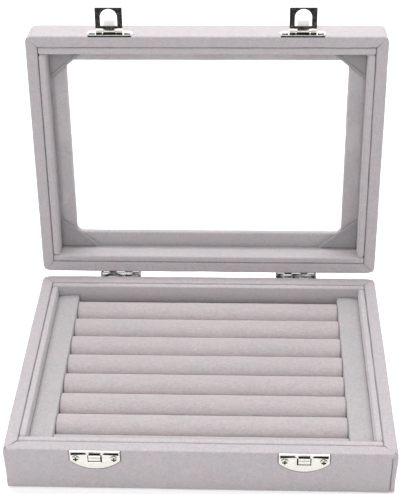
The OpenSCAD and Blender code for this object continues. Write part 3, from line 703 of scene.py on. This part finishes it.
def front_seam():
    """Painted shade of the crease where the side's cloth ends on the front, near the right corner.
    """
    bm = bmesh.new()
    bar(
        bm, (HALF_W - 2.8 * MM, -HALF_D - 0.12 * MM, 2 * MM),
        (HALF_W - 2.45 * MM, 0.5 * MM - HALF_D, 24.6 * MM),
    )
    upright = [e for e in bm.edges if e.calc_length() > 10 * MM]
    bmesh.ops.subdivide_edges(bm, edges=upright, cuts=12, use_grid_fill=True)
    for v in bm.verts:
        v.co.y -= 0.5 * MM * swelling(v.co)
    finished(bm, "front_corner_seam", "base", painted_shade_velvet, smooth=False)


def roll_section(width, steps=14):
    """Outline of a roll, seen from its end: straight flanks and a round crown."""
    half, crown = width / 2, ROLL_H - FLANK_H
    flank = [0.1 * MM, 2.5 * MM, 5 * MM]
    outline = [(-half, up) for up in flank]
    for i in range(steps + 1):
        a = math.pi - math.pi * i / steps
        outline.append((math.cos(a) * half, FLANK_H + crown * math.sin(a)))
    return outline + [(half, up) for up in reversed(flank)]


def ring_roll(name, rear_y, width, stands_for, seed):
    """Foam roll in a velvet sleeve. Its section is drawn as one face and extruded along the
    roll, then the filling presses the crown out."""
    hem = 0.3 * MM
    bm = bmesh.new()
    end = bm.faces.new([
        bm.verts.new((-ROLL_LEN / 2, rear_y - width / 2 + across, CARD_TOP + up))
        for across, up in roll_section(width - 0.1 * MM)
    ])
    bmesh.ops.inset_region(bm, faces=[end], thickness=hem, use_even_offset=True)
    thicken(bm, bm.faces[:], (ROLL_LEN, 0, 0))
    runs = [e for e in bm.edges if ends_apart(e, 0) > ROLL_LEN * 0.6]
    bmesh.ops.subdivide_edges(bm, edges=runs, cuts=61, use_grid_fill=True)
    for v in bm.verts:
        if 0 < ROLL_LEN / 2 - abs(v.co.x) < 3 * MM:
            v.co.x = math.copysign(ROLL_LEN / 2 - hem, v.co.x)
    loose, free = CARD_TOP + 4 * MM, CARD_TOP + 9 * MM
    settle(bm, 0.12 * MM, 18 * MM, seed, lambda co: step(co.z, loose, free))
    piece = finished(bm, name, "base", roll_velvet, stands_for)
    glued = CARD_TOP + 3 * MM
    press_out(piece, 3.0, 0.35 * MM, lambda co: co.z < glued or abs(co.x) > ROLL_LEN / 2 - hem)
    rounder(piece)


def ring_rolls():
    """The rolls from the rear to the front, and the narrower one before them."""
    rear = TRAY_HALF_D - ROLL_GAP / 2
    for i in range(1, ROLLS + 1):
        ring_roll(f"ring_roll_{i}", rear, ROLL_W, [f"roll_sleeve_{i}", f"foam_core_{i}"], 10.0 * i)
        rear -= ROLL_PITCH
    ring_roll("front_half_roll", rear, FILLER_W, ["front_filler_roll"], 91)


def side_rests():
    """Padded strips over the ends of the rolls, a little lower along the outside."""
    ease, edge_r = 0.3 * MM, 0.35 * MM
    inner, outer = TRAY_HALF_W - REST_W, TRAY_HALF_W + ease
    glued = CARD_TOP + 6 * MM
    for name, side in (("left", -1), ("right", 1)):
        low = (min(side * inner, side * outer), ease - TRAY_HALF_D, CARD_TOP)
        high = (max(side * inner, side * outer), TRAY_HALF_D - ease, CARD_TOP + REST_H)
        bm = padded_block(low, high, edge_r, edge_r, 1)
        across = [e for e in bm.edges if ends_apart(e, 0) > REST_W * 0.6]
        bmesh.ops.subdivide_edges(bm, edges=across, cuts=6, use_grid_fill=True)
        for v in bm.verts:
            out = (abs(v.co.x) - inner) / REST_W
            high_up = step(v.co.z, CARD_TOP + 8 * MM, CARD_TOP + 12 * MM)
            crown, slope = 0.3 * MM * math.sin(math.pi * min(1, out)), 0.6 * MM * out
            v.co.z += high_up * (crown - slope)
        settle(bm, 0.12 * MM, 15 * MM, 40 + side)
        piece = finished(
            bm, f"{name}_side_rest", "base", rest_velvet, [f"{name}_side_strip"],
        )
        press_out(piece, 1.0, 0.15 * MM, lambda co: co.z < glued)


def underside_cloth():
    """Cloth under the base, inside the cover's turned edge."""
    edge = 3.5 * MM
    bm = bmesh.new()
    bmesh.ops.create_grid(bm, x_segments=40, y_segments=30, size=1)
    bmesh.ops.scale(bm, vec=(HALF_W - edge, HALF_D - edge, 1), verts=bm.verts[:])
    bmesh.ops.translate(bm, vec=(0, 0, 0.05 * MM), verts=bm.verts[:])
    thicken(bm, bm.faces[:], (0, 0, 0.7 * MM))
    finished(bm, "underside_cloth", "base", case_velvet, ["bottom_cloth"])


base_cover()
corner_creases("base_corner_creases", "base", BASE_H)
front_seam()
lining_strips("base", FLOOR_Z, BASE_H - LINING_DROP, 11, 0.4 * MM)
ring_rolls()
side_rests()
underside_cloth()

# ---------------------------------------------------------------- lid


def lid_corner_radius(d):
    """The outer corner's radius, or inside the window's edge the window's own."""
    return 4 * MM if d > 15 * MM else corner_radius(d)


def lid_depth_in(d):
    """Distance inwards on the front and rear, where the frame round the window is narrower."""
    return d - (WINDOW_EDGE_W - WINDOW_EDGE_D) * step(d, 8 * MM, 18 * MM)


def lid_cover():
    """Drawn with its outer face at 0 and its rim up."""
    edge, r, lip_z = WINDOW_EDGE_W, 1.1 * MM, LID_H - LIP_R
    turned_in, tucked_in = (WALL, LID_H - TURN_IN), (7 * MM, PANEL)
    section = (
        [turned_in]
        + straight(turned_in, (WALL, lip_z), 4)
        + bend(WALL - LIP_R, lip_z, LIP_R, 0, 90, 4)
        + straight((WALL - LIP_R, LID_H), (RIM_R, LID_H), 6)
        + bend(RIM_R, LID_H - RIM_R, RIM_R, 90, 180, 5)
        + straight((0, LID_H - RIM_R), (0, RIM_R), 7)
        + bend(RIM_R, RIM_R, RIM_R, 180, 270, 5)
        + straight((RIM_R, 0), (edge - r, 0), 8)
        + bend(edge - r, r, r, -90, 0, 4)
        + straight((edge, r), (edge, PANEL - r), 2)
        + bend(edge - r, PANEL - r, r, 0, 90, 4)
        + straight((edge - r, PANEL), tucked_in, 6)
        + [tucked_in]
    )
    bm = wrap_case(section, lid_corner_radius, lid_depth_in)
    lay_cloth(bm, LID_H, 5.7, 2.2)
    thickness(finished(
        bm, "lid_cover", "lid", case_velvet, ["lid_velvet_cover"], place=LID_WAY_UP,
    ))


def corner_pads():
    """Velvet triangles in the corners of the glass, each with its long edge folded over."""
    side_leg, end_leg, ease = 19 * MM, 23 * MM, 0.1 * MM
    fold_w, fold_t, fold_r = 1.7 * MM, 0.5 * MM, 0.24 * MM
    bm = bmesh.new()
    for sx, sy in ((-1, -1), (-1, 1), (1, -1), (1, 1)):
        corner = Vector((sx * (TRAY_HALF_W - ease), sy * (TRAY_HALF_D - ease), ease))
        along, down = corner - Vector((sx * end_leg, 0, 0)), corner - Vector((0, sy * side_leg, 0))
        face = bm.faces.new([bm.verts.new(p) for p in (corner, along, down)])
        thicken(bm, [face], (0, 0, 0.5 * MM))
        inwards = (corner - (along + down) / 2).normalized() * fold_w / 2
        size = ((down - along).length - 1.5 * MM, fold_w, fold_t)
        fold, laid = strip_between(bm, along, down, size, inwards + Vector((0, 0, 0.75 * MM)))
        rails = list({e for v in fold for e in v.link_edges if e.calc_length() > 5 * MM})
        rounded = round_off(bm, rails, fold_r, 3)["verts"]
        strip = list(set(rounded) | {v for v in fold if v.is_valid})
        bmesh.ops.transform(bm, matrix=laid, verts=strip)
    finished(
        bm, "glass_corner_pads", "lid", shaded_pad_velvet, ["corner_patches"],
        smooth=False, place=GLASS_UP,
    )


lid_cover()
corner_creases("lid_corner_creases", "lid", LID_H, LID_WAY_UP)
lining_strips("lid", 0, GLASS_Z - LID_RIM_Z - LINING_DROP, 17, 0, GLASS_UP)
corner_pads()

# ---------------------------------------------------------------- fittings


def own_form(node):
    """A copy of the node's own form, its facets joined."""
    bm = bmesh.new()
    bm.from_mesh(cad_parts[node].data)
    bmesh.ops.remove_doubles(bm, verts=bm.verts[:], dist=1e-6)
    join_facets(bm)
    return bm


def fitting(bm, name, body, finish, stands_for=(), edge=0.14 * MM):
    """Metal piece, its cut edges rounded a little, as tumbling leaves them."""
    sharp = [
        e for e in bm.edges
        if len(e.link_faces) == 2 and e.calc_face_angle() > math.radians(50)
    ]
    round_off(bm, sharp, edge, 1, clamp=True)
    piece = finished(bm, name, body, finish, stands_for)
    piece.data.set_sharp_from_angle(angle=math.radians(30))


def stamp(bm, origin, across, depth, up, thin_end=0):
    """Bar given by its spans in millimetres from an origin on a plate's face."""
    spans = list(zip(origin, (across, depth, up)))
    bar(
        bm, [at + span[0] * MM for at, span in spans], [at + span[1] * MM for at, span in spans],
        thin_end,
    )


def crescent(bm, centre, radius, width):
    """Thin arc over a screw head, thickest in the middle."""
    arc = bmesh.ops.create_circle(bm, segments=24, radius=radius)["verts"]
    bmesh.ops.delete(bm, geom=[v for v in arc if v.co.y < 0.2 * radius], context="VERTS")
    arc = [v for v in arc if v.is_valid]
    edges = list({e for v in arc for e in v.link_edges})
    outer = corners_in(bmesh.ops.extrude_edge_only(bm, edges=edges)["geom"])
    for v in outer:
        v.co *= 1 + width / radius * v.co.y / radius
    deep = thicken(bm, list({f for v in outer for f in v.link_faces}), (0, 0, 0.1 * MM))
    for v in arc + outer + deep:
        v.co = Vector((centre[0] + v.co.x, centre[1] - v.co.z, centre[2] + v.co.y))


def keeper_details():
    """Painted shade in the keepers: dark bars in the slots under the beads, in the mouth of each
    catch and in the opening that it was lanced from, and in and over the screw heads; and the
    embossed foot below each catch, left by the press."""
    slots, feet = bmesh.new(), bmesh.new()
    for middle in (-FITTING_X, FITTING_X):
        origin = (middle, PLATE_FACE, BASE_H)
        for end in (-1, 1):
            stamp(slots, origin, sorted((end * 4.1, end * 12.2)), (-0.04, 0.5), (-2.7, -1.0), -end)
        stamp(slots, origin, (-2.9, 2.9), (-0.8, 0.3), (-2.3, -1.3))
        stamp(slots, origin, (-3.7, 3.6), (-0.04, 0.5), (-7.3, -2.6))
        for end in (-1, 1):
            screw = (middle + end * SCREW_OUT, PLATE_FACE, BASE_H - SCREW_DROP)
            stamp(slots, screw, (-1.2, 1.2), (-0.95, -0.55), (-0.3, 0.35))
            stamp(slots, screw, (-0.3, 0.35), (-0.95, -0.55), (-1.1, 1.1))
            crescent(slots, (screw[0], PLATE_FACE + 0.02 * MM, screw[2]), 1.8 * MM, 0.45 * MM)
        stamp(feet, origin, (-3.3, 3.3), (-0.16, 0.5), (-8.9, -7.3))
    fitting(slots, "keeper_slot_shade", "base", painted_shade_finish, edge=0.1 * MM)
    fitting(feet, "keeper_catch_feet", "base", fitting_nickel, edge=0.2 * MM)


def painted_edge_shade(name, middle):
    """Painted shade round the edge of a keeper: dark velvet just outside the plate, a dark line at
    its foot.
    """
    bm = own_form(f"{name}_plate")
    centre, spread = (middle, 0, BASE_H), (1.045, 1, 1.1)
    for v in bm.verts:
        v.co = Vector([c + (p - c) * s for p, c, s in zip(v.co, centre, spread)])
        v.co.y = max(-HALF_D - 0.12 * MM, min(-HALF_D, v.co.y))
    finished(bm, f"{name}_painted_edge_shade", "base", painted_shade_velvet, smooth=False)


def keepers():
    """Keepers with the free end of each catch a little shorter than its opening."""
    for name, middle in (("left_keeper", -FITTING_X), ("right_keeper", FITTING_X)):
        bm = own_form(f"{name}_plate")
        for v in bm.verts:
            if abs(v.co.x - middle) < 3.05 * MM and v.co.y < PLATE_FACE - 0.05 * MM:
                v.co.z = BASE_H + (v.co.z - BASE_H) * 0.8
        fitting(bm, name, "base", fitting_nickel, [f"{name}_plate"])
        painted_edge_shade(name, middle)
    keeper_details()


def lid_plate_details():
    """Shade under the rolled straps, where each plate's lower edge presses into the velvet, at
    the feet of the lugs and beside the screw heads. Drawn with the lid shut, then opened."""
    bm = bmesh.new()
    for middle in (-FITTING_X, FITTING_X):
        origin = (middle, PLATE_FACE, LID_RIM_Z)
        stamp(bm, origin, (-3.7, 3.7), (-0.4, 0.3), (0.35, 3.4))
        stamp(bm, origin, (-12, 12), (0.5, 1.2), (0.05, 0.5))
        for end in (-1, 1):
            stamp(bm, origin, sorted((end * 4.0, end * 7.3)), (-1.15, -0.05), (0.45, 1.1))
            stamp(bm, origin, sorted((end * 8.1, end * 11.5)), (-0.45, 0.3), (1.0, 2.1), end)
    bmesh.ops.transform(bm, matrix=OPEN_LID, verts=bm.verts[:])
    fitting(bm, "lid_plate_shade", "lid", painted_shade_finish, edge=0.05 * MM)


def tab_skin(side, skin=0.05 * MM):
    """Bright skin round a hasp's finger tab, its white a painted reflection: the hull of the tab's
    points, a little swollen.
    """
    low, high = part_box(f"{side}_hasp_pin")
    pin_y, pin_z = [(l + h) / 2 for l, h in zip(low, high)][1:]
    bm = own_form(f"{side}_hasp")
    rest = [
        v for v in bm.verts
        if v.co.z - pin_z <= 1.0 * MM or v.co.y - pin_y <= 0.3 * MM + 0.1 * (v.co.z - pin_z)
    ]
    bmesh.ops.delete(bm, geom=rest, context="VERTS")
    bmesh.ops.delete(bm, geom=bm.edges[:], context="EDGES_FACES")
    bmesh.ops.convex_hull(bm, input=bm.verts[:])
    join_facets(bm)
    bmesh.ops.recalc_face_normals(bm, faces=bm.faces[:])
    bm.normal_update()
    for v, out in [(v, v.normal * skin) for v in bm.verts]:
        v.co += out
    fitting(bm, f"{side}_hasp_tab", f"{side}_latch", tab_reflection_finish, edge=0.12 * MM)


def hasps():
    """Flip hasps, and the skins of their finger tabs."""
    for side in ("left", "right"):
        fitting(
            own_form(f"{side}_hasp"), f"{side}_flip_hasp", f"{side}_latch", fitting_chrome,
            [f"{side}_hasp"], 0.1 * MM,
        )
        tab_skin(side)


keepers()
lid_plate_details()
hasps()

# ---------------------------------------------------------------- finishes of the solids shown

# The first word that a node's name holds gives its finish.
NODE_FINISHES = (
    ("leaf", streaky_steel), ("hinge_pin", streaky_steel), ("nails", streaky_steel),
    ("plate", fitting_nickel), ("screws", fitting_nickel), ("hasp", fitting_chrome),
    ("window_glass", glass_finish), ("tray_card", card_finish), ("foam", foam_finish),
    ("board", board_finish), ("", lightened_lining_velvet),
)


def finish_nodes():
    for node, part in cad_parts.items():
        finish = next(finish for word, finish in NODE_FINISHES if word in node)
        if part.material_slots:
            for place in part.material_slots:
                place.material = finish
        else:
            part.data.materials.append(finish)
    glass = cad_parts["window_glass"]
    glass.visible_shadow = glass.visible_diffuse = False


finish_nodes()

# ---------------------------------------------------------------- studio


def studio_sheet(name, place, finish):
    """Flat sheet of the studio: a square 2 m wide, laid and stretched by place."""
    bm = bmesh.new()
    bmesh.ops.create_grid(bm, x_segments=1, y_segments=1, size=1)
    bmesh.ops.transform(bm, matrix=place, verts=bm.verts[:])
    shape = bpy.data.meshes.new(name)
    bm.to_mesh(shape)
    bm.free()
    shape.materials.append(finish)
    sheet = bpy.data.objects.new(name, shape)
    bpy.context.scene.collection.objects.link(sheet)
    return sheet


def larger(tree, first, second):
    most = tree.nodes.new("ShaderNodeMath")
    most.operation = "MAXIMUM"
    tree.links.new(first, most.inputs[0])
    tree.links.new(second, most.inputs[1])
    return most.outputs[0]


def white_floor():
    """Pale matt floor that glows a little for the lens and through the glass, but not for the
    box, so that it comes out white and keeps the box's shadow."""
    finish = bpy.data.materials.new("pale_floor")
    finish.use_nodes = True
    tree = finish.node_tree
    tree.nodes.clear()
    out = tree.nodes.new("ShaderNodeOutputMaterial")
    matt = tree.nodes.new("ShaderNodeBsdfDiffuse")
    matt.inputs["Color"].default_value = (0.9, 0.9, 0.9, 1)
    glow = tree.nodes.new("ShaderNodeEmission")
    glow.inputs["Color"].default_value = (1, 1, 1, 1)
    both = tree.nodes.new("ShaderNodeAddShader")
    ray = tree.nodes.new("ShaderNodeLightPath")
    seen = larger(tree, ray.outputs["Is Camera Ray"], ray.outputs["Is Transmission Ray"])
    share = tree.nodes.new("ShaderNodeMath")
    share.operation = "MULTIPLY"
    share.inputs[1].default_value = 0.35
    tree.links.new(seen, share.inputs[0])
    tree.links.new(share.outputs[0], glow.inputs["Strength"])
    tree.links.new(matt.outputs[0], both.inputs[0])
    tree.links.new(glow.outputs[0], both.inputs[1])
    tree.links.new(both.outputs[0], out.inputs["Surface"])
    lowered = Matrix.Translation((0, 0, -0.1 * MM)) @ Matrix.Diagonal((6, 6, 1, 1))
    studio_sheet("studio_floor", lowered, finish)


def dark_backdrop():
    """Black cloth in front of the box, seen by polished metal and glass only."""
    finish = bpy.data.materials.new("black_cloth")
    finish.use_nodes = True
    body = finish.node_tree.nodes["Principled BSDF"]
    body.inputs["Base Color"].default_value = (0.01, 0.01, 0.01, 1)
    body.inputs["Roughness"].default_value = 1
    upright = Matrix.Translation((0.02, -0.45, 0.46)) @ Matrix.Rotation(math.radians(90), 4, "X")
    cloth = studio_sheet("dark_backdrop", upright @ Matrix.Diagonal((0.55, 0.45, 1, 1)), finish)
    cloth.visible_camera = False
    cloth.visible_diffuse = False
    cloth.visible_shadow = False
    cloth.visible_transmission = False


def soft_lamp(name, place, size, power):
    """Softbox that faces the middle of the box."""
    aim = Vector((0, 0, 0.05))
    lamp = bpy.data.lights.new(name, "AREA")
    lamp.shape = "RECTANGLE"
    lamp.size, lamp.size_y = size
    lamp.energy = power
    holder = bpy.data.objects.new(name, lamp)
    bpy.context.scene.collection.objects.link(holder)
    way = (Vector(place) - aim).to_track_quat("Z", "Y").to_matrix().to_4x4()
    holder.matrix_world = Matrix.Translation(place) @ way


def studio_air():
    """Soft light from all round, and plain white for the lens, the glass and the metal."""
    world = bpy.data.worlds.new("studio_air")
    bpy.context.scene.world = world
    world.use_nodes = True
    tree = world.node_tree
    tree.nodes.clear()
    out = tree.nodes.new("ShaderNodeOutputWorld")
    air = tree.nodes.new("ShaderNodeBackground")
    air.inputs["Color"].default_value = (1, 1, 1, 1)
    air.inputs["Strength"].default_value = 0.56
    white = tree.nodes.new("ShaderNodeBackground")
    white.inputs["Color"].default_value = (1, 1, 1, 1)
    white.inputs["Strength"].default_value = 1
    mix = tree.nodes.new("ShaderNodeMixShader")
    ray = tree.nodes.new("ShaderNodeLightPath")
    seen = larger(tree, ray.outputs["Is Camera Ray"], ray.outputs["Is Transmission Ray"])
    seen = larger(tree, seen, ray.outputs["Is Glossy Ray"])
    tree.links.new(seen, mix.inputs[0])
    tree.links.new(air.outputs[0], mix.inputs[1])
    tree.links.new(white.outputs[0], mix.inputs[2])
    tree.links.new(mix.outputs[0], out.inputs["Surface"])


white_floor()
studio_air()
dark_backdrop()
soft_lamp("overhead_softbox", (0.0, 0.42, 0.95), (1.0, 0.7), 9.2)
soft_lamp("front_softbox", (-0.15, -1.15, 0.95), (0.5, 0.4), 5.0)
bpy.context.scene.view_settings.view_transform = "Standard"
